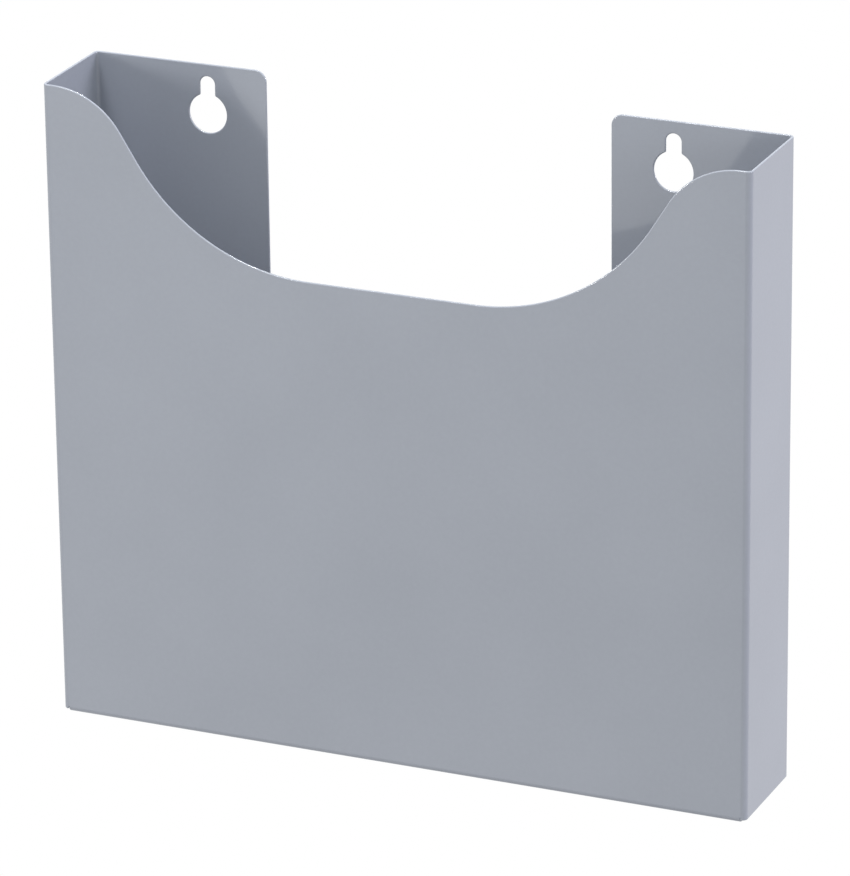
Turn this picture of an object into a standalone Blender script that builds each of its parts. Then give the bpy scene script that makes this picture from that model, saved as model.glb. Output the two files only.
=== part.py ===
"""Wall-hung document holder, folded from one sheet of steel and modelled panel by panel.

The blank has a front panel with a wide curved hand cut-out, two side panels, two rear flanges
with keyholes for the wall screws, a floor and a low rear lip. Each panel is a solid of its own
that ends at a fold's tangent line, and a hair-thin seam parts it from the next one.
Units are metres. +X runs along the width, the front faces -Y and +Z is up. The origin lies
under the middle of the holder, on the plane of its underside.
"""
import math

import bmesh
import bpy
from mathutils import Matrix, Vector

# Overall size over the outer faces
holder_width = 0.310
holder_depth = 0.050
holder_height = 0.280

# The sheet and its folds
sheet_thickness = 0.0010
fold_radius = 0.0025  # outer radius
seam_clearance = 0.0003  # between two panels at a fold
fold_steps = 12  # flats that make up one right-angled fold

# Hand cut-out in the top of the front panel
cutout_depth = 0.0708
corner_land = 0.0042  # level edge from the side's outer face to the shoulder
shoulder_radius = 0.036  # convex arc that leaves the top corner
sweep_radius = 0.090  # concave arc that runs into the level middle
flank_angle = math.radians(58.0)  # slope where the two arcs are joined by a straight
arc_step = math.radians(2.0)  # turn of one chord of the cut-out

# Slits that free the lower corners for folding, as a share of the vertical fold's turn
relief_share = 1 / 6

# Rear flanges with their keyholes
flange_width = 0.0785  # from the side's outer face to the free edge
flange_corner_radius = 0.005
keyhole_inset = 0.0516  # from the side's outer face to the keyhole's axis
keyhole_drop = 0.0214  # from the top edge to the middle of the round head hole
keyhole_head_diameter = 0.017
keyhole_slot_width = 0.0067
keyhole_slot_rise = 0.0127  # from the middle of the head hole to that of the slot's round end
keyhole_steps = 48  # chords in a full turn of the keyhole's arcs
corner_steps = 12  # chords of the rounded corner
cutter_overrun = 0.002

# Rear lip that stands up from the floor inside the two flanges
lip_height = 0.015
lap_clearance = 0.0003  # between two faces of the sheet that lap

# Faces and fold lines that follow from those sizes
front_face = -holder_depth / 2
wall_face = holder_depth / 2
side_face = holder_width / 2
fold_line = side_face - fold_radius
front_fold_axis = front_face + fold_radius
wall_fold_axis = wall_face - fold_radius
panel_low_edge = fold_radius + seam_clearance
side_low_edge = sheet_thickness + lap_clearance  # the sides and wall flanges clear the floor
lip_face = wall_face - sheet_thickness - lap_clearance
lip_fold_axis = lip_face - fold_radius

paint_colour = (0.413, 0.440, 0.503, 1.0)
paint_roughness = 0.42
paint_metallic = 0.0

right_angle = math.pi / 2


def clear_scene():
    """Removes every object, so that a second run starts empty."""
    for item in list(bpy.data.objects):
        bpy.data.objects.remove(item, do_unlink=True)


def painted_steel(name):
    """Returns the light blue-grey powder coat that one panel wears."""
    paint = bpy.data.materials.new(name + "_powder_coat")
    paint.use_nodes = True
    shader = paint.node_tree.nodes["Principled BSDF"]
    shader.inputs["Base Color"].default_value = paint_colour
    shader.inputs["Roughness"].default_value = paint_roughness
    shader.inputs["Metallic"].default_value = paint_metallic
    return paint


def add_panel(name, shape, parent):
    """Turns a closed bmesh into a named, painted object under the holder's empty."""
    bmesh.ops.recalc_face_normals(shape, faces=shape.faces[:])
    mesh = bpy.data.meshes.new(name)
    shape.to_mesh(mesh)
    shape.free()
    mesh.materials.append(painted_steel(name))
    mesh.shade_smooth()
    mesh.set_sharp_from_angle(angle=math.radians(30.0))
    panel = bpy.data.objects.new(name, mesh)
    panel.parent = parent
    bpy.context.scene.collection.objects.link(panel)
    return panel


def add_box(shape, low, high):
    """Adds a block between two opposite corners, given in any order."""
    low, high = Vector(low), Vector(high)
    size = high - low
    scale = Matrix.Diagonal((abs(size.x), abs(size.y), abs(size.z), 1.0))
    bmesh.ops.create_cube(shape, size=1.0, matrix=Matrix.Translation((low + high) / 2) @ scale)


def fold_end(shape, outward, axis_point, axis, turn):
    """Folds the sheet on from its end face: the one that looks along outward and lies farthest out."""
    outward = Vector(outward)
    facing = [face for face in shape.faces if face.normal.dot(outward) > math.cos(arc_step)]
    end = max(facing, key=lambda face: face.calc_center_median().dot(outward))
    bmesh.ops.spin(
        shape, geom=[end], cent=axis_point, axis=axis, angle=turn, steps=fold_steps, use_merge=False
    )
    bmesh.ops.delete(shape, geom=[end], context="FACES_ONLY")
    bmesh.ops.recalc_face_normals(shape, faces=shape.faces[:])


def arc_points(centre, radius, start, end, steps):
    """Returns points on a circle in the XZ plane. Angles run from straight up towards +X."""
    points = []
    for step in range(steps + 1):
        angle = start + (end - start) * step / steps
        points.append((centre[0] + radius * math.sin(angle), centre[1] + radius * math.cos(angle)))
    return points


def cutout_half():
    """Returns the cut-out's edge from the right top corner down to its level middle, as (x, z)."""
    turned = 1 - math.cos(flank_angle)
    straight_drop = cutout_depth - (shoulder_radius + sweep_radius) * turned
    shoulder_x = side_face - corner_land
    sweep_x = shoulder_x - (shoulder_radius + sweep_radius) * math.sin(flank_angle)
    sweep_x -= straight_drop / math.tan(flank_angle)
    shoulder = (shoulder_x, holder_height - shoulder_radius)
    sweep = (sweep_x, holder_height - cutout_depth + sweep_radius)
    steps = round(flank_angle / arc_step)
    edge = arc_points(shoulder, shoulder_radius, 0, -flank_angle, steps)
    edge += arc_points(sweep, sweep_radius, math.pi - flank_angle, math.pi, steps)
    return edge


def outline_solid(points, near_y, far_y):
    """Returns the bmesh of an outline in the XZ plane, extruded from one Y to another."""
    shape = bmesh.new()
    corners = [shape.verts.new((x, near_y, z)) for x, z in points]
    outline = shape.faces.new(corners)
    grown = bmesh.ops.extrude_face_region(shape, geom=[outline])
    moved = [item for item in grown["geom"] if isinstance(item, bmesh.types.BMVert)]
    bmesh.ops.translate(shape, verts=moved, vec=(0, far_y - near_y, 0))
    bmesh.ops.recalc_face_normals(shape, faces=shape.faces[:])
    return shape


def extend_fold_feet(shape):
    """Draws each vertical fold down to the side's lower edge, beside the relief slit."""
    feet = []
    for face in shape.faces:
        middle = face.calc_center_median()
        turned = math.atan2(abs(middle.x) - fold_line, front_fold_axis - middle.y)
        if abs(middle.x) > fold_line and face.normal.z < -math.cos(arc_step):
            if turned > right_angle * relief_share:
                feet.append(face)
    grown = bmesh.ops.extrude_face_region(shape, geom=feet)
    moved = [item for item in grown["geom"] if isinstance(item, bmesh.types.BMVert)]
    bmesh.ops.translate(shape, verts=moved, vec=(0, 0, side_low_edge - panel_low_edge))
    bmesh.ops.delete(shape, geom=feet, context="FACES_ONLY")


def front_panel(parent):
    """The flat front with its hand cut-out, and the two vertical folds at its ends."""
    right_edge = cutout_half()
    left_edge = [(-x, z) for x, z in reversed(right_edge)]
    outline = [(-fold_line, panel_low_edge), (fold_line, panel_low_edge), (fold_line, holder_height)]
    outline += right_edge + left_edge + [(-fold_line, holder_height)]
    shape = outline_solid(outline, front_face, front_face + sheet_thickness)
    for side in (-1, 1):
        axis_point = (side * fold_line, front_fold_axis, 0)
        fold_end(shape, (side, 0, 0), axis_point, (0, 0, 1), side * right_angle)
    extend_fold_feet(shape)
    return add_panel("front_panel", shape, parent)


def side_panel(name, side, parent):
    """A flat side between the seams of its front and rear folds."""
    shape = bmesh.new()
    low = (side * side_face, front_fold_axis + seam_clearance, side_low_edge)
    high = (side * (side_face - sheet_thickness), wall_fold_axis - seam_clearance, holder_height)
    add_box(shape, low, high)
    return add_panel(name, shape, parent)


def keyhole_outline(axis_x):
    """Returns the keyhole's edge: a round head hole with a narrow round-ended slot above it."""
    head_radius = keyhole_head_diameter / 2
    slot_radius = keyhole_slot_width / 2
    head = (axis_x, holder_height - keyhole_drop)
    slot = (axis_x, head[1] + keyhole_slot_rise)
    meeting = math.asin(slot_radius / head_radius)
    points = arc_points(head, head_radius, meeting, 2 * math.pi - meeting, keyhole_steps)
    return points + arc_points(slot, slot_radius, -right_angle, right_angle, keyhole_steps // 2)


def keyhole_cutter(name, axis_x, parent):
    """A keyhole-shaped punch, longer than the sheet is thick at both faces."""
    near_y = wall_face - sheet_thickness - cutter_overrun
    shape = outline_solid(keyhole_outline(axis_x), near_y, wall_face + cutter_overrun)
    punch = add_panel(name, shape, parent)
    punch.hide_render = True
    punch.display_type = "WIRE"
    return punch


def round_top_corner(shape, edge_x):
    """Rounds the flange's free upper corner, which lies on the sheet's short edge at edge_x."""
    near = sheet_thickness / 2
    corner = []
    for edge in shape.edges:
        ends = [vert.co for vert in edge.verts]
        if all(abs(end.x - edge_x) < near and abs(end.z - holder_height) < near for end in ends):
            corner.append(edge)
    bmesh.ops.bevel(
        shape,
        geom=corner,
        offset=flange_corner_radius,
        offset_type="OFFSET",
        segments=corner_steps,
        profile=0.5,
        affect="EDGES",
        material=-1,
    )


def wall_flange(name, side, parent):
    """A rear flange with its fold, rounded free corner and keyhole."""
    shape = bmesh.new()
    free_edge = side * (side_face - flange_width)
    low = (side * fold_line, wall_face - sheet_thickness, side_low_edge)
    add_box(shape, low, (free_edge, wall_face, holder_height))
    round_top_corner(shape, free_edge)
    fold_end(shape, (side, 0, 0), (side * fold_line, wall_fold_axis, 0), (0, 0, 1), -side * right_angle)
    flange = add_panel(name, shape, parent)
    punch = keyhole_cutter(name + "_punch", side * (side_face - keyhole_inset), parent)
    cut = flange.modifiers.new("keyhole", "BOOLEAN")
    cut.operation = "DIFFERENCE"
    cut.solver = "EXACT"
    cut.object = punch
    return flange


def floor_panel(parent):
    """The floor that the documents stand on, with the fold that joins it to the front panel."""
    shape = bmesh.new()
    rear_edge = lip_fold_axis - seam_clearance
    add_box(shape, (-fold_line, front_fold_axis, 0), (fold_line, rear_edge, sheet_thickness))
    fold_end(shape, (0, -1, 0), (0, front_fold_axis, fold_radius), (1, 0, 0), -right_angle)
    return add_panel("bottom_panel", shape, parent)


def rear_lip(parent):
    """The low upstand behind the floor, lapped inside both wall flanges."""
    shape = bmesh.new()
    low = (-fold_line, lip_face - sheet_thickness, fold_radius)
    add_box(shape, low, (fold_line, lip_face, lip_height))
    fold_end(shape, (0, 0, -1), (0, lip_fold_axis, fold_radius), (1, 0, 0), -right_angle)
    return add_panel("rear_lip", shape, parent)


def main():
    """Builds the holder, panel by panel."""
    clear_scene()
    holder = bpy.data.objects.new("document_holder", None)
    bpy.context.scene.collection.objects.link(holder)
    front_panel(holder)
    for hand, side in (("left", -1), ("right", 1)):
        side_panel(hand + "_side_panel", side, holder)
        wall_flange(hand + "_wall_flange", side, holder)
    floor_panel(holder)
    rear_lip(holder)


main()
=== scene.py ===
"""Looks of a wall-hung document holder, folded from one sheet of steel and powder coated.

Every panel of the folded blank is drawn as its outer skin, folded by spinning its edge round
the fold's axis, given the sheet's thickness, and rounded along its cut edges. Two panels meet
in a flat, without rounding, so that the holder reads as the single sheet that it is.
Units are metres. +X runs along the width, the front faces -Y and +Z is up.
"""
import logging
import math
from collections.abc import Callable
from dataclasses import dataclass
from enum import Enum

import bmesh
import bpy
from mathutils import Matrix, Vector


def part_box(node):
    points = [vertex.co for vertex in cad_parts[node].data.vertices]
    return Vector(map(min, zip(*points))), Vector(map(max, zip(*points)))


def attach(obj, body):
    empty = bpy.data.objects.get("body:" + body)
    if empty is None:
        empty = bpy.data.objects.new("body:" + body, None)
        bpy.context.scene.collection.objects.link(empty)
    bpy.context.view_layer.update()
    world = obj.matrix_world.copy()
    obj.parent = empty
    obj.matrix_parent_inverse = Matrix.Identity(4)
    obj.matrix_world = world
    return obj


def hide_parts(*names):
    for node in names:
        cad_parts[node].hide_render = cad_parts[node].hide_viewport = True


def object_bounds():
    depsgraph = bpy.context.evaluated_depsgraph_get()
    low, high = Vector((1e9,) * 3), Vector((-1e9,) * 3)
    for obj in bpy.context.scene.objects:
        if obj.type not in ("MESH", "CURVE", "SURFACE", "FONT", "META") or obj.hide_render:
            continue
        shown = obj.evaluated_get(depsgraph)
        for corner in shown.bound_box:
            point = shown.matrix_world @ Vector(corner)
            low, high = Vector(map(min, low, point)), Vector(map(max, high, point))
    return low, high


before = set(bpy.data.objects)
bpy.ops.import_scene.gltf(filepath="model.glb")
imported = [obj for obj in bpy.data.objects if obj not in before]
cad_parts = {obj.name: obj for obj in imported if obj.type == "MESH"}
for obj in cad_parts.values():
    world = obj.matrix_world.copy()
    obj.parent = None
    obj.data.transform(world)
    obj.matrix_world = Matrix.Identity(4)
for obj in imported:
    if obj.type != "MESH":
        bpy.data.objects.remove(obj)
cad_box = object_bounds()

LOG = logging.getLogger("document_holder")
BODY = "root"
TOUCH = 1e-6  # two points nearer than this are the same point
SHARP = math.radians(50.0)  # sharper edges than this are cut edges
FLAT = 0.99999  # a flat's normal lies along one axis by at least this share
RIGHT_ANGLE = math.pi / 2
ROUND_PROFILE = 0.5  # a bevel's profile along a circle's arc
AXIS_X = (1.0, 0.0, 0.0)
AXIS_Y = (0.0, 1.0, 0.0)
AXIS_Z = (0.0, 0.0, 1.0)
WHITE = "#FFFFFF"

Point = tuple[float, float, float]
Colour = tuple[float, float, float, float]


class Hand(Enum):
    """End of the holder that a handed panel belongs to, as the sign of its X."""

    LEFT = -1
    RIGHT = 1


def srgb(code: str) -> Colour:
    """Turns an sRGB hex colour into linear light, by the numbers of the sRGB standard.

    Args:
        code: Colour as "#RRGGBB".

    Returns:
        Linear red, green and blue, and an alpha of one.
    """
    channels = [int(code[start : start + 2], 16) / 255 for start in (1, 3, 5)]
    linear = [c / 12.92 if c <= 0.04045 else ((c + 0.055) / 1.055) ** 2.4 for c in channels]
    return (linear[0], linear[1], linear[2], 1.0)


def add_node(
    tree: bpy.types.NodeTree,
    kind: str,
    settings: dict[str, object] | None = None,
    inputs: dict[str | int, object] | None = None,
) -> bpy.types.Node:
    """Adds a node with its settings, and feeds its sockets.

    Args:
        tree: Node tree that gets the node.
        kind: Blender's type name of the node.
        settings: Properties of the node, by name.
        inputs: Values or output sockets for its inputs, by socket name or number.

    Returns:
        The new node.
    """
    node = tree.nodes.new(kind)
    for name, value in (settings or {}).items():
        setattr(node, name, value)
    for socket, value in (inputs or {}).items():
        if isinstance(value, bpy.types.NodeSocket):
            tree.links.new(value, node.inputs[socket])
        else:
            node.inputs[socket].default_value = value
    return node


@dataclass(frozen=True)
class PowderCoat:
    """Polyester powder coat, sprayed dry on steel and baked: an even, slightly peeled film.

    The film melts into one skin, so the eye sees a flat opaque colour with a clear, low sheen.
    It flows a little unevenly, which leaves low orange-peel waves and faint cloudy patches.
    """

    name: str = "satin_powder_coat_on_steel"
    colour: str = "#A3A9B4"
    thin_colour: str = "#9EA4AF"
    roughness: float = 0.10
    roughness_spread: float = 0.02
    metallic: float = 0.0
    ior: float = 1.5
    cloud_size: float = 0.060  # metres across one cloudy patch of film thickness
    cloud_detail: float = 2.0  # octaves of finer pattern on top, here and below
    grain_size: float = 0.0016  # powder flecks are 0.05 mm: drawn coarser, or they'd not show
    grain_detail: float = 1.0
    grain_share: float = 0.30  # of the colour pattern, the rest being clouds
    peel_size: float = 0.0030  # wavelength of the orange peel
    peel_detail: float = 1.5
    peel_height: float = 0.000008  # real peel is about half this: drawn higher to show at all
    noise_low: float = 0.3  # nearly all of a noise pattern lies between these two
    noise_high: float = 0.7

    def material(self) -> bpy.types.Material:
        """Builds the node material.

        Returns:
            The material, which reads Object coordinates, so it runs on across the panels.
        """
        coat = bpy.data.materials.new(self.name)
        coat.use_nodes = True
        tree = coat.node_tree
        shader = tree.nodes["Principled BSDF"]
        place = add_node(tree, "ShaderNodeTexCoord").outputs["Object"]
        clouds = self.noise(tree, place, self.cloud_size, self.cloud_detail)
        grain = self.noise(tree, place, self.grain_size, self.grain_detail)
        peel = self.noise(tree, place, self.peel_size, self.peel_detail)
        shade = add_node(
            tree,
            "ShaderNodeMix",
            {"data_type": "FLOAT"},
            {"Factor": self.grain_share, "A": clouds, "B": grain},
        )
        ramp = add_node(tree, "ShaderNodeValToRGB", inputs={"Fac": shade.outputs["Result"]})
        thin, full = ramp.color_ramp.elements
        thin.position = self.noise_low
        thin.color = srgb(self.thin_colour)
        full.position = self.noise_high
        full.color = srgb(self.colour)
        gloss = add_node(
            tree,
            "ShaderNodeMapRange",
            inputs={
                "Value": clouds,
                "From Min": self.noise_low,
                "From Max": self.noise_high,
                "To Min": self.roughness - self.roughness_spread / 2,
                "To Max": self.roughness + self.roughness_spread / 2,
            },
        )
        waves = add_node(
            tree,
            "ShaderNodeBump",
            inputs={"Strength": 1.0, "Distance": self.peel_height, "Height": peel},
        )
        tree.links.new(ramp.outputs["Color"], shader.inputs["Base Color"])
        tree.links.new(gloss.outputs["Result"], shader.inputs["Roughness"])
        tree.links.new(waves.outputs["Normal"], shader.inputs["Normal"])
        shader.inputs["IOR"].default_value = self.ior
        shader.inputs["Metallic"].default_value = self.metallic
        return coat

    def noise(
        self, tree: bpy.types.NodeTree, place: bpy.types.NodeSocket, size: float, detail: float
    ) -> bpy.types.NodeSocket:
        """Adds a cloudy pattern with patches of one size, and gives its value's socket."""
        inputs = {"Vector": place, "Scale": 1.0 / size, "Detail": detail}
        return add_node(tree, "ShaderNodeTexNoise", inputs=inputs).outputs["Fac"]


@dataclass(frozen=True)
class Blank:
    """The steel sheet that all panels share, and the outer faces that it is folded to."""

    side_face: float
    front_face: float
    wall_face: float
    top: float
    side_low: float  # lower edge of the sides and wall flanges, just clear of the floor
    thickness: float = 0.0010
    fold_radius: float = 0.0025  # outer
    seam: float = 0.0003  # flat run past a fold, where the next panel takes over
    edge_radius: float = 0.00046  # a cut edge under its coat
    edge_steps: int = 4
    fold_steps: int = 24
    arc_step: float = math.radians(1.0)
    arc_chord: float = 0.0004  # an arc's shortest run, so that its rounded edges have room

    @classmethod
    def from_solids(cls) -> "Blank":
        """Takes the outer faces from the boxes of the solids.

        Returns:
            The blank that is folded to them.
        """
        low, high = cad_box
        return cls(
            side_face=high[0],
            front_face=low[1],
            wall_face=high[1],
            top=high[2],
            side_low=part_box("right_side_panel")[0][2],
        )

    @property
    def fold_line(self) -> float:
        """X at which the front and the wall flanges start to fold."""
        return self.side_face - self.fold_radius

    @property
    def front_axis(self) -> float:
        """Y of the front folds' axes."""
        return self.front_face + self.fold_radius

    @property
    def wall_axis(self) -> float:
        """Y of the rear folds' axes."""
        return self.wall_face - self.fold_radius

    @property
    def foot(self) -> float:
        """Height at which the front panel's flat meets the fold of the floor."""
        return self.fold_radius + self.seam


class Skin:
    """Open sheet in a bmesh, drawn and folded by its edges."""

    def __init__(self, blank: Blank) -> None:
        """Starts without any vertex.

        Args:
            blank: Sheet whose fold and arc steps the skin uses.
        """
        self.blank = blank
        self.shape = bmesh.new()
        self.first: bmesh.types.BMVert | None = None
        self.tip: bmesh.types.BMVert | None = None

    def start(self, point: Point) -> "Skin":
        """Puts the pen down at a point, and returns the skin."""
        self.first = self.tip = self.shape.verts.new(point)
        return self

    def line_to(self, point: Point) -> "Skin":
        """Draws a straight edge from the pen's point.

        Args:
            point: Where the edge ends.

        Returns:
            The skin.
        """
        grown = bmesh.ops.extrude_vert_indiv(self.shape, verts=[self.tip])
        self.tip = grown["verts"][0]
        bmesh.ops.translate(self.shape, verts=[self.tip], vec=Vector(point) - self.tip.co)
        return self

    def arc(self, centre: Point, angle: float) -> "Skin":
        """Draws an arc in the XZ plane.

        Args:
            centre: Middle of the arc.
            angle: Turn about +Y, which takes +Z towards +X.

        Returns:
            The skin.
        """
        radius = (self.tip.co - Vector(centre)).length
        step = max(self.blank.arc_step, self.blank.arc_chord / radius)
        steps = max(1, round(abs(angle) / step))
        turned = bmesh.ops.spin(
            self.shape,
            geom=[self.tip],
            cent=centre,
            axis=AXIS_Y,
            angle=angle,
            steps=steps,
            use_merge=False,
        )
        ends = [item for item in turned["geom_last"] if isinstance(item, bmesh.types.BMVert)]
        self.tip = ends[0]
        return self

    def close(self) -> "Skin":
        """Joins the pen's point to where it was put down, and returns the skin."""
        bmesh.ops.contextual_create(self.shape, geom=[self.tip, self.first])
        return self

    def fill(self) -> None:
        """Fills between the drawn loops, and leaves the inner ones open."""
        edges = self.shape.edges[:]
        bmesh.ops.triangle_fill(self.shape, edges=edges, use_beauty=True, use_dissolve=False)

    def edges_where(self, test: Callable[[Vector], bool]) -> list[bmesh.types.BMEdge]:
        """Finds edges by the middle and both ends.

        Args:
            test: Called with a point, and true where the edge may lie.

        Returns:
            The edges that lie there with their ends and middle.
        """
        found = []
        for edge in self.shape.edges:
            first, second = (vert.co for vert in edge.verts)
            if test(first) and test(second) and test((first + second) / 2):
                found.append(edge)
        return found

    def grow(self, edges: list[bmesh.types.BMEdge], step: Point) -> list[bmesh.types.BMEdge]:
        """Draws a flat on from edges.

        Args:
            edges: Edges that the flat starts from.
            step: How far and which way it runs.

        Returns:
            The edges at its far end.
        """
        grown = bmesh.ops.extrude_edge_only(self.shape, edges=edges)["geom"]
        moved = [item for item in grown if isinstance(item, bmesh.types.BMVert)]
        bmesh.ops.translate(self.shape, verts=moved, vec=step)
        far = set(moved)
        new_edges = [item for item in grown if isinstance(item, bmesh.types.BMEdge)]
        return [edge for edge in new_edges if far.issuperset(edge.verts)]

    def fold(
        self, edges: list[bmesh.types.BMEdge], axis_point: Point, axis: Point, angle: float
    ) -> list[bmesh.types.BMEdge]:
        """Folds the sheet on from edges.

        Args:
            edges: Edges at which the fold starts.
            axis_point: A point on the fold's axis.
            axis: Direction of the fold's axis.
            angle: Turn of the fold.

        Returns:
            The edges at which it ends.
        """
        turned = bmesh.ops.spin(
            self.shape,
            geom=edges,
            cent=axis_point,
            axis=axis,
            angle=angle,
            steps=self.blank.fold_steps,
            use_merge=False,
        )
        return [item for item in turned["geom_last"] if isinstance(item, bmesh.types.BMEdge)]

    def face(self, outward: Vector) -> None:
        """Turns the normals so that the largest flat looks outward.

        Args:
            outward: Direction that the outer face looks in.
        """
        bmesh.ops.remove_doubles(self.shape, verts=self.shape.verts[:], dist=TOUCH)
        bmesh.ops.recalc_face_normals(self.shape, faces=self.shape.faces[:])
        largest = max(self.shape.faces, key=lambda item: item.calc_area())
        if largest.normal.dot(outward) < 0:
            bmesh.ops.reverse_faces(self.shape, faces=self.shape.faces[:])

    def shade(self, rounded: set[bmesh.types.BMFace]) -> None:
        """Shades flats, folds and rounded edges smooth, each without the slope of the others.

        Args:
            rounded: Faces of the rounded edges.
        """
        self.shape.normal_update()
        for face in self.shape.faces:
            face.smooth = True
        for edge in self.shape.edges:
            kinds = set()
            for face in edge.link_faces:
                kinds.add((face in rounded, max(abs(part) for part in face.normal) > FLAT))
            edge.smooth = edge.calc_face_angle(0.0) < SHARP and len(kinds) == 1


@dataclass(frozen=True)
class WeldMark:
    """Shallow round dent that a spot welder leaves on a lapped joint, half filled by the coat."""

    diameter: float = 0.0055
    depth: float = 0.00018
    height: float = 0.0086  # above the underside, at mid lap
    insets: tuple[float, ...] = (0.020, 0.064)  # from the side's outer face
    segments: int = 32
    rim_share: float = 0.30  # of the radius, taken by the sloping rim
    rim_steps: int = 2

    def outline(self, skin: Skin, plane: float, signs: tuple[int, ...]) -> None:
        """Draws the dents' edges on a flat in the XZ plane.

        Args:
            skin: Skin that the dents are drawn on, before it is filled.
            plane: Y of that flat.
            signs: Ends of the holder that get them, as signs of X.
        """
        upright = Matrix.Rotation(RIGHT_ANGLE, 4, "X")
        for centre in self.centres(skin, plane, signs):
            bmesh.ops.create_circle(
                skin.shape,
                cap_ends=False,
                segments=self.segments,
                radius=self.diameter / 2,
                matrix=Matrix.Translation(centre) @ upright,
            )

    def press(self, skin: Skin, plane: float, signs: tuple[int, ...], push: int) -> None:
        """Closes the dents' edges and presses their middles in.

        Args:
            skin: Filled skin with the dents' open edges.
            plane: Y of the flat.
            signs: Ends of the holder that have them, as signs of X.
            push: Way that they are pressed, as a sign of Y.
        """
        reach = self.diameter / 2 + TOUCH
        slope = self.diameter / 2 * self.rim_share / self.rim_steps
        drop = (0, push * self.depth / self.rim_steps, 0)
        for centre in self.centres(skin, plane, signs):
            ring = skin.edges_where(lambda point: (point - centre).length < reach)
            made = bmesh.ops.contextual_create(skin.shape, geom=ring)["faces"]
            for _ in range(self.rim_steps):
                bmesh.ops.inset_individual(skin.shape, faces=made, thickness=slope)
                bmesh.ops.translate(skin.shape, verts=list(made[0].verts), vec=drop)

    def centres(self, skin: Skin, plane: float, signs: tuple[int, ...]) -> list[Vector]:
        """Places the dents.

        Args:
            skin: Skin that they lie on.
            plane: Y of its flat.
            signs: Ends of the holder that have them, as signs of X.

        Returns:
            Their middles.
        """
        side = skin.blank.side_face
        return [
            Vector((sign * (side - inset), plane, self.height))
            for sign in signs
            for inset in self.insets
        ]


@dataclass
class Panel:
    """One panel of the folded blank, drawn as its outer skin."""

    node: str
    blank: Blank
    coat: bpy.types.Material

    @property
    def outward(self) -> Vector:
        """Direction that the panel's outer face looks in."""
        return Vector((0.0, -1.0, 0.0))

    def skin(self) -> Skin:
        """Draws the outer face with its folds, as an open sheet."""
        raise NotImplementedError

    def at_seam(self, point: Vector) -> bool:
        """Tells if a point lies where the next panel takes over."""
        raise NotImplementedError

    def build(self) -> bpy.types.Object:
        """Makes the panel's solid, dresses it and puts it in the CAD node's place.

        Returns:
            The finished piece.
        """
        skin = self.skin()
        skin.face(self.outward)
        shape = skin.shape
        bmesh.ops.solidify(shape, geom=shape.faces[:], thickness=self.blank.thickness)
        skin.shade(self.round_cut_edges(skin))
        mesh = bpy.data.meshes.new(self.node + "_sheet")
        shape.to_mesh(mesh)
        shape.free()
        mesh.materials.append(self.coat)
        piece = bpy.data.objects.new(self.node + "_sheet", mesh)
        bpy.context.scene.collection.objects.link(piece)
        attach(piece, BODY)
        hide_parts(self.node)
        return piece

    def round_cut_edges(self, skin: Skin) -> set[bmesh.types.BMFace]:
        """Rounds the sheet's cut edges, and leaves those where two panels meet.

        Args:
            skin: Skin that has been given its thickness.

        Returns:
            The rounded faces.
        """
        seams = set(skin.edges_where(self.at_seam))
        cut = []
        for edge in skin.shape.edges:
            if edge not in seams and edge.calc_face_angle(0.0) > SHARP:
                cut.append(edge)
        made = bmesh.ops.bevel(
            skin.shape,
            geom=cut,
            offset=self.blank.edge_radius,
            offset_type="OFFSET",
            segments=self.blank.edge_steps,
            profile=ROUND_PROFILE,
            affect="EDGES",
            clamp_overlap=False,
            material=-1,
        )
        return set(made["faces"])


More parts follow.
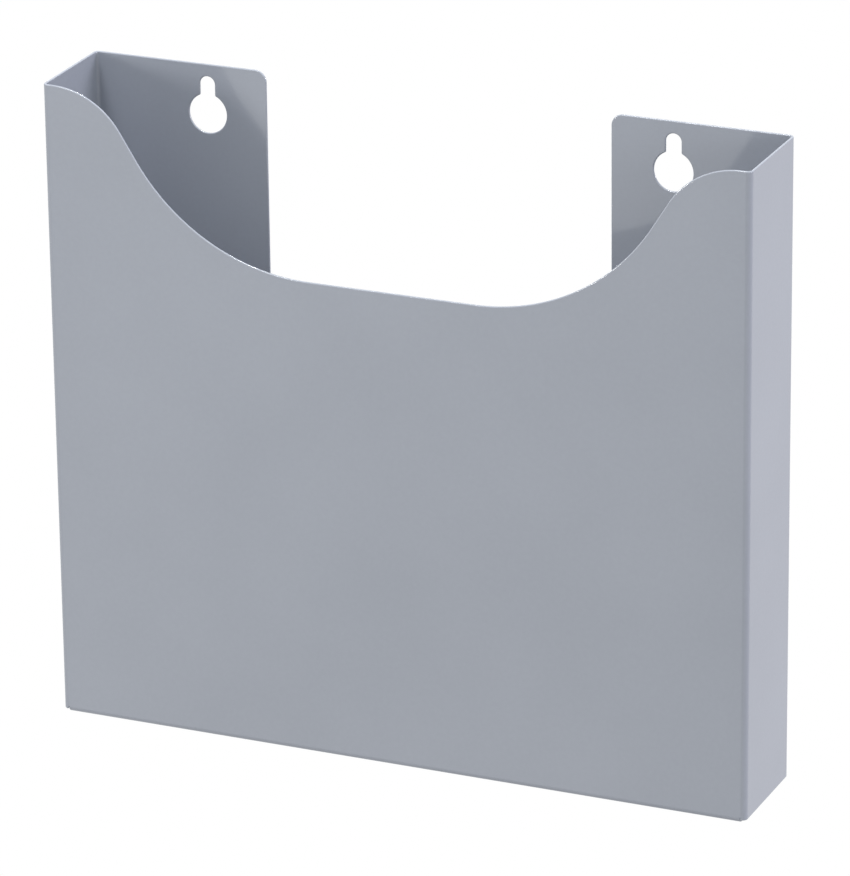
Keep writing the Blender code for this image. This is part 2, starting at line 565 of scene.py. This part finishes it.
@dataclass
class FrontPanel(Panel):
    """The flat front with its hand cut-out, and the two vertical folds at its ends."""

    cutout_depth: float = 0.0708
    corner_land: float = 0.0042  # level edge from the side's outer face to the shoulder
    shoulder_radius: float = 0.036
    sweep_radius: float = 0.090
    flank_angle: float = math.radians(58.0)
    relief_share: float = 1 / 6  # of each fold's turn, slit open at the lower corner
    relief_top: float = 0.0019  # height of the slit's upper end

    def skin(self) -> Skin:
        """Draws the right half from its top edge down, folds its end, and mirrors it.

        Returns:
            The front's outer face.
        """
        blank = self.blank
        skin = self.top_edge()
        grown = bmesh.ops.extrude_edge_only(skin.shape, edges=skin.shape.edges[:])["geom"]
        lower = [item for item in grown if isinstance(item, bmesh.types.BMVert)]
        ground = Matrix.Translation((0, 0, -blank.foot))
        bmesh.ops.scale(skin.shape, verts=lower, vec=(1, 1, 0), space=ground)
        end = skin.edges_where(lambda point: abs(point.x - blank.fold_line) < TOUCH)
        axis_point = (blank.fold_line, blank.front_axis, 0)
        last = skin.fold(end, axis_point, AXIS_Z, RIGHT_ANGLE)
        skin.grow(last, (0, blank.seam, 0))
        hem = skin.grow(skin.edges_where(self.at_foot), (0, 0, self.relief_top - blank.foot))
        past = [edge for edge in hem if all(self.past_slit(vert.co) for vert in edge.verts)]
        skin.grow(past, (0, 0, blank.side_low - self.relief_top))
        whole = skin.shape.verts[:] + skin.shape.edges[:] + skin.shape.faces[:]
        bmesh.ops.mirror(
            skin.shape, geom=whole, matrix=Matrix.Identity(4), axis="X", merge_dist=TOUCH
        )
        return skin

    def top_edge(self) -> Skin:
        """Draws the top edge from the right fold to the middle of the cut-out.

        Returns:
            The skin, with that edge alone.
        """
        blank = self.blank
        front = blank.front_face
        low = blank.top - self.cutout_depth
        radii = self.shoulder_radius + self.sweep_radius
        flank_height = self.cutout_depth - radii * (1 - math.cos(self.flank_angle))
        flank_width = flank_height / math.tan(self.flank_angle)
        shoulder_x = blank.side_face - self.corner_land
        sweep_x = shoulder_x - flank_width - radii * math.sin(self.flank_angle)
        shoulder = (shoulder_x, front, blank.top - self.shoulder_radius)
        sweep = (sweep_x, front, low + self.sweep_radius)
        flank_x = sweep_x + self.sweep_radius * math.sin(self.flank_angle)
        flank_z = sweep[2] - self.sweep_radius * math.cos(self.flank_angle)
        skin = Skin(blank).start((blank.fold_line, front, blank.top))
        skin.line_to((shoulder_x, front, blank.top)).arc(shoulder, -self.flank_angle)
        skin.line_to((flank_x, front, flank_z)).arc(sweep, self.flank_angle)
        return skin.line_to((0, front, low))

    def at_foot(self, point: Vector) -> bool:
        """Tells if a point lies on the lower edge of the right fold, as first folded."""
        right = point.x > self.blank.fold_line - TOUCH
        return right and abs(point.z - self.blank.foot) < TOUCH

    def turned(self, point: Vector) -> float:
        """Measures how far round either front fold a point lies, in radians from the front."""
        blank = self.blank
        return math.atan2(abs(point.x) - blank.fold_line, blank.front_axis - point.y)

    def past_slit(self, point: Vector) -> bool:
        """Tells if a point lies beyond the slit, where the fold reaches farther down."""
        return self.turned(point) > RIGHT_ANGLE * self.relief_share - TOUCH

    def in_slit(self, point: Vector) -> bool:
        """Tells if a point lies at either slit, whose edges are too short to round.

        Args:
            point: Point on the solid panel.

        Returns:
            True within half a step of the fold from the slit.
        """
        half_step = RIGHT_ANGLE / self.blank.fold_steps / 2
        within = -half_step < self.turned(point) < RIGHT_ANGLE * self.relief_share + half_step
        return within and point.z < self.blank.foot + TOUCH

    def at_seam(self, point: Vector) -> bool:
        """Tells if a point lies where a side or the floor takes over, or in a slit.

        Args:
            point: Point on the solid panel.

        Returns:
            True where the edge stays unrounded.
        """
        blank = self.blank
        side = abs(point.y - blank.front_axis - blank.seam) < TOUCH
        floor = abs(point.z - blank.foot) < TOUCH and abs(point.x) < blank.fold_line + TOUCH
        return side or floor or self.in_slit(point)


@dataclass
class SidePanel(Panel):
    """A flat side between its front and rear folds."""

    hand: Hand = Hand.RIGHT

    @property
    def outward(self) -> Vector:
        """Direction that the side's outer face looks in."""
        return Vector((self.hand.value, 0.0, 0.0))

    def skin(self) -> Skin:
        """Draws the lower edge and grows it to the top.

        Returns:
            The side's outer face.
        """
        blank = self.blank
        x = self.hand.value * blank.side_face
        skin = Skin(blank).start((x, blank.front_axis + blank.seam, blank.side_low))
        skin.line_to((x, blank.wall_axis - blank.seam, blank.side_low))
        skin.grow(skin.shape.edges[:], (0, 0, blank.top - blank.side_low))
        return skin

    def at_seam(self, point: Vector) -> bool:
        """Tells if a point lies where a front or rear fold takes over."""
        return abs(abs(point.y) - self.blank.wall_axis + self.blank.seam) < TOUCH


@dataclass
class WallFlange(Panel):
    """A rear flange with its fold, rounded free corner and keyhole."""

    hand: Hand = Hand.RIGHT
    width: float = 0.0785  # from the side's outer face to the free edge
    corner_radius: float = 0.005
    keyhole_inset: float = 0.0516  # from the side's outer face to the keyhole's axis
    keyhole_drop: float = 0.0214  # from the top edge to the middle of the head hole
    head_radius: float = 0.0085
    slot_radius: float = 0.00335
    slot_rise: float = 0.0127  # from the middle of the head hole to that of the slot's end
    weld: WeldMark = WeldMark()

    @property
    def outward(self) -> Vector:
        """Direction that the flange's outer face looks in."""
        return Vector((0.0, 1.0, 0.0))

    def skin(self) -> Skin:
        """Draws a right flange with its keyhole and welds, folds it, and mirrors a left one.

        Returns:
            The flange's outer face.
        """
        blank = self.blank
        wall = blank.wall_face
        ends = (Hand.RIGHT.value,)
        free_edge = blank.side_face - self.width
        corner_x = free_edge + self.corner_radius
        skin = Skin(blank).start((blank.fold_line, wall, blank.side_low))
        skin.line_to((blank.fold_line, wall, blank.top)).line_to((corner_x, wall, blank.top))
        skin.arc((corner_x, wall, blank.top - self.corner_radius), -RIGHT_ANGLE)
        skin.line_to((free_edge, wall, blank.side_low)).close()
        self.draw_keyhole(skin)
        self.weld.outline(skin, wall, ends)
        skin.fill()
        self.weld.press(skin, wall, ends, push=-1)
        end = skin.edges_where(lambda point: abs(point.x - blank.fold_line) < TOUCH)
        last = skin.fold(end, (blank.fold_line, blank.wall_axis, 0), AXIS_Z, -RIGHT_ANGLE)
        skin.grow(last, (0, -blank.seam, 0))
        bmesh.ops.scale(skin.shape, verts=skin.shape.verts[:], vec=(self.hand.value, 1, 1))
        return skin

    def draw_keyhole(self, skin: Skin) -> None:
        """Draws the round head hole with the narrow round-ended slot above it.

        Args:
            skin: Skin of the right flange, before it is filled.
        """
        blank = self.blank
        axis_x = blank.side_face - self.keyhole_inset
        head = (axis_x, blank.wall_face, blank.top - self.keyhole_drop)
        slot = (axis_x, blank.wall_face, head[2] + self.slot_rise)
        meeting = math.asin(self.slot_radius / self.head_radius)
        foot_z = head[2] + self.head_radius * math.cos(meeting)
        skin.start((axis_x + self.slot_radius, blank.wall_face, foot_z))
        skin.arc(head, 2 * (math.pi - meeting))
        skin.line_to((axis_x - self.slot_radius, blank.wall_face, slot[2]))
        skin.arc(slot, math.pi).close()

    def at_seam(self, point: Vector) -> bool:
        """Tells if a point lies where the side takes over."""
        return abs(point.y - self.blank.wall_axis + self.blank.seam) < TOUCH


@dataclass
class BottomPanel(Panel):
    """The floor that the documents stand on, with the fold that joins it to the front."""

    rear_edge: float = 0.0209

    @property
    def outward(self) -> Vector:
        """Direction that the underside looks in."""
        return Vector((0.0, 0.0, -1.0))

    def skin(self) -> Skin:
        """Draws the rear edge, grows it to the front and folds it up.

        Returns:
            The underside with its fold.
        """
        blank = self.blank
        skin = Skin(blank).start((-blank.fold_line, self.rear_edge, 0))
        skin.line_to((blank.fold_line, self.rear_edge, 0))
        front = skin.grow(skin.shape.edges[:], (0, blank.front_axis - self.rear_edge, 0))
        axis_point = (0, blank.front_axis, blank.fold_radius)
        last = skin.fold(front, axis_point, AXIS_X, -RIGHT_ANGLE)
        skin.grow(last, (0, 0, blank.seam))
        return skin

    def at_seam(self, point: Vector) -> bool:
        """Tells if a point lies where the front panel or the rear lip takes over."""
        at_front = abs(point.z - self.blank.foot) < TOUCH
        return at_front or abs(point.y - self.rear_edge) < TOUCH


@dataclass
class RearLip(Panel):
    """The low upstand behind the floor, lapped inside both wall flanges and spot welded there."""

    height: float = 0.015
    face_y: float = 0.0237
    weld: WeldMark = WeldMark()

    @property
    def outward(self) -> Vector:
        """Direction that the lip's outer face looks in."""
        return Vector((0.0, 1.0, 0.0))

    @property
    def floor_edge(self) -> float:
        """Y at which the floor takes over."""
        return self.face_y - self.blank.fold_radius - self.blank.seam

    def skin(self) -> Skin:
        """Draws the upright with its weld marks, and folds its lower edge forward.

        Returns:
            The lip's outer face with its fold.
        """
        blank = self.blank
        ends = (Hand.LEFT.value, Hand.RIGHT.value)
        skin = Skin(blank).start((-blank.fold_line, self.face_y, blank.fold_radius))
        skin.line_to((-blank.fold_line, self.face_y, self.height))
        skin.line_to((blank.fold_line, self.face_y, self.height))
        skin.line_to((blank.fold_line, self.face_y, blank.fold_radius)).close()
        self.weld.outline(skin, self.face_y, ends)
        skin.fill()
        self.weld.press(skin, self.face_y, ends, push=1)
        foot = skin.edges_where(lambda point: abs(point.z - blank.fold_radius) < TOUCH)
        axis_point = (0, self.face_y - blank.fold_radius, blank.fold_radius)
        last = skin.fold(foot, axis_point, AXIS_X, -RIGHT_ANGLE)
        skin.grow(last, (0, -blank.seam, 0))
        return skin

    def at_seam(self, point: Vector) -> bool:
        """Tells if a point lies where the floor takes over."""
        return abs(point.y - self.floor_edge) < TOUCH


@dataclass(frozen=True)
class PhotoCamera:
    """The photograph's view: where the camera stands, how it is turned and its focal length."""

    azimuth: float = math.radians(23.572)
    elevation: float = math.radians(21.038)
    roll: float = math.radians(-0.668)
    distance: float = 2.5195
    target: Point = (0.003561, 0.0, 0.138232)
    focal_pixels: float = 6117.39
    long_side: int = 876  # of the picture, in pixels
    sensor: float = 36.0  # millimetres along the long side
    clip_end: float = 50.0

    def build(self) -> bpy.types.Object:
        """Sets the camera up and makes it the scene's own.

        Returns:
            The camera.
        """
        level = math.cos(self.elevation)
        back = Vector(
            (
                math.sin(self.azimuth) * level,
                -math.cos(self.azimuth) * level,
                math.sin(self.elevation),
            )
        )
        right = Vector((math.cos(self.azimuth), math.sin(self.azimuth), 0.0))
        turn = Matrix.Rotation(self.roll, 4, back)
        place = turn @ Matrix((right, back.cross(right), back)).transposed().to_4x4()
        place.translation = Vector(self.target) + back * self.distance
        lens = bpy.data.cameras.new("photo_camera")
        lens.sensor_width = self.sensor
        lens.lens = self.focal_pixels / self.long_side * self.sensor
        lens.clip_end = self.clip_end
        camera = bpy.data.objects.new("photo_camera", lens)
        camera.matrix_world = place
        bpy.context.scene.collection.objects.link(camera)
        bpy.context.scene.camera = camera
        return camera


@dataclass(frozen=True)
class SoftBox:
    """A square area lamp that looks at the holder."""

    name: str
    azimuth: float  # degrees from the front, towards +X
    elevation: float  # degrees above the horizon
    distance: float
    size: float
    power: float  # watts
    colour: str = WHITE

    def build(self, target: Vector) -> None:
        """Hangs the lamp and turns it to the target.

        Args:
            target: Point that the lamp looks at.
        """
        around, up = math.radians(self.azimuth), math.radians(self.elevation)
        way = Vector(
            (math.sin(around) * math.cos(up), -math.cos(around) * math.cos(up), math.sin(up))
        )
        light = bpy.data.lights.new(self.name, "AREA")
        light.shape = "SQUARE"
        light.size = self.size
        light.energy = self.power
        light.color = srgb(self.colour)[:3]
        lamp = bpy.data.objects.new(self.name, light)
        lamp.location = target + way * self.distance
        lamp.rotation_euler = way.to_track_quat("Z", "Y").to_euler()
        bpy.context.scene.collection.objects.link(lamp)


@dataclass(frozen=True)
class Studio:
    """White room with soft lamps. The holder hangs free above a pale floor, as on a wall."""

    # Each lamp's name, azimuth, elevation, distance, size, power and, where tinted, colour.
    boxes: tuple[SoftBox, ...] = (
        SoftBox("key_box", -30.0, 60.0, 1.8, 0.40, 9.6),
        SoftBox("left_low_box", -45.0, 12.0, 1.8, 0.28, 7.5, "#FFFBF6"),
        SoftBox("right_box", 100.0, 15.0, 1.8, 0.35, 13.0, "#F8F3FF"),
        SoftBox("front_right_box", 60.0, 15.0, 1.8, 0.35, 2.3),
        SoftBox("front_low_box", -25.0, -21.0, 1.8, 0.60, 0.6),
        SoftBox("top_box", 0.0, 89.0, 1.8, 0.35, 26.0),
    )
    ambient: float = 0.49  # strength of the room's own light
    floor_drop: float = 0.85  # below the holder, so that no lamp touches the floor
    floor_radius: float = 6.0
    floor_segments: int = 96
    floor_colour: str = "#C8C8C8"
    shadow_reach: float = 0.35  # the floor is matt as far as this
    fade_reach: float = 0.65  # and looks white past this

    def build(self, target: Vector) -> None:
        """Builds the lamps, the world and the floor.

        Args:
            target: Point that the lamps look at.
        """
        for box in self.boxes:
            box.build(target)
        self.world()
        self.floor()

    def shows(self, tree: bpy.types.NodeTree) -> bpy.types.NodeSocket:
        """Adds the test for rays that see the background, straight or by gloss or glass.

        Args:
            tree: Node tree that gets it.

        Returns:
            Socket with one for such rays and zero for those that bring light.
        """
        rays = add_node(tree, "ShaderNodeLightPath").outputs
        both = add_node(
            tree,
            "ShaderNodeMath",
            {"operation": "MAXIMUM"},
            {0: rays["Is Camera Ray"], 1: rays["Is Glossy Ray"]},
        )
        every = add_node(
            tree,
            "ShaderNodeMath",
            {"operation": "MAXIMUM"},
            {0: both.outputs["Value"], 1: rays["Is Transmission Ray"]},
        )
        return every.outputs["Value"]

    def world(self) -> None:
        """Makes the room: soft grey as light, white to look at."""
        world = bpy.data.worlds.new("white_room")
        world.use_nodes = True
        tree = world.node_tree
        tree.nodes.clear()
        white = srgb(WHITE)
        soft, plain = (
            add_node(tree, "ShaderNodeBackground", inputs={"Color": white, "Strength": strength})
            for strength in (self.ambient, 1.0)
        )
        mix = add_node(
            tree,
            "ShaderNodeMixShader",
            inputs={0: self.shows(tree), 1: soft.outputs[0], 2: plain.outputs[0]},
        )
        add_node(tree, "ShaderNodeOutputWorld", inputs={"Surface": mix.outputs[0]})
        bpy.context.scene.world = world

    def floor(self) -> None:
        """Lays the floor, which keeps the holder's shadow and fades to white farther out."""
        shape = bmesh.new()
        bmesh.ops.create_circle(
            shape,
            cap_ends=True,
            segments=self.floor_segments,
            radius=self.floor_radius,
            matrix=Matrix.Translation((0, 0, -self.floor_drop)),
        )
        mesh = bpy.data.meshes.new("studio_floor")
        shape.to_mesh(mesh)
        shape.free()
        mesh.materials.append(self.floor_paint())
        floor = bpy.data.objects.new("studio_floor", mesh)
        bpy.context.scene.collection.objects.link(floor)

    def floor_paint(self) -> bpy.types.Material:
        """Mixes matt pale paint near the holder with plain white farther out.

        Returns:
            The floor's material.
        """
        paint = bpy.data.materials.new("matt_pale_floor")
        paint.use_nodes = True
        tree = paint.node_tree
        tree.nodes.clear()
        matt = add_node(tree, "ShaderNodeBsdfDiffuse", inputs={"Color": srgb(self.floor_colour)})
        white = add_node(
            tree, "ShaderNodeEmission", inputs={"Color": srgb(WHITE), "Strength": 1.0}
        )
        place = add_node(tree, "ShaderNodeTexCoord").outputs["Object"]
        flat = add_node(
            tree,
            "ShaderNodeVectorMath",
            {"operation": "MULTIPLY"},
            {0: place, 1: (1.0, 1.0, 0.0)},
        )
        away = add_node(
            tree, "ShaderNodeVectorMath", {"operation": "LENGTH"}, {0: flat.outputs["Vector"]}
        )
        fade = add_node(
            tree,
            "ShaderNodeMapRange",
            {"interpolation_type": "SMOOTHSTEP"},
            {
                "Value": away.outputs["Value"],
                "From Min": self.shadow_reach,
                "From Max": self.fade_reach,
            },
        )
        share = add_node(
            tree,
            "ShaderNodeMath",
            {"operation": "MULTIPLY"},
            {0: fade.outputs["Result"], 1: self.shows(tree)},
        )
        mix = add_node(
            tree,
            "ShaderNodeMixShader",
            inputs={0: share.outputs["Value"], 1: matt.outputs[0], 2: white.outputs[0]},
        )
        add_node(tree, "ShaderNodeOutputMaterial", inputs={"Surface": mix.outputs[0]})
        return paint


def main() -> None:
    """Builds the holder panel by panel, then the studio and the camera."""
    logging.basicConfig(level=logging.INFO, format="%(message)s")
    coat = PowderCoat().material()
    blank = Blank.from_solids()
    panels: list[Panel] = [FrontPanel("front_panel", blank, coat)]
    for hand in Hand:
        name = hand.name.lower()
        panels.append(SidePanel(name + "_side_panel", blank, coat, hand=hand))
        panels.append(WallFlange(name + "_wall_flange", blank, coat, hand=hand))
    panels.append(BottomPanel("bottom_panel", blank, coat))
    panels.append(RearLip("rear_lip", blank, coat))
    for panel in panels:
        piece = panel.build()
        LOG.info("%s: %d faces", piece.name, len(piece.data.polygons))
    Studio().build(Vector((0.0, 0.0, blank.top / 2)))
    camera = PhotoCamera().build()
    LOG.info("%s: %.1f mm lens", camera.name, camera.data.lens)
    bpy.context.scene.view_settings.view_transform = "Standard"


if __name__ == "__main__":
    main()
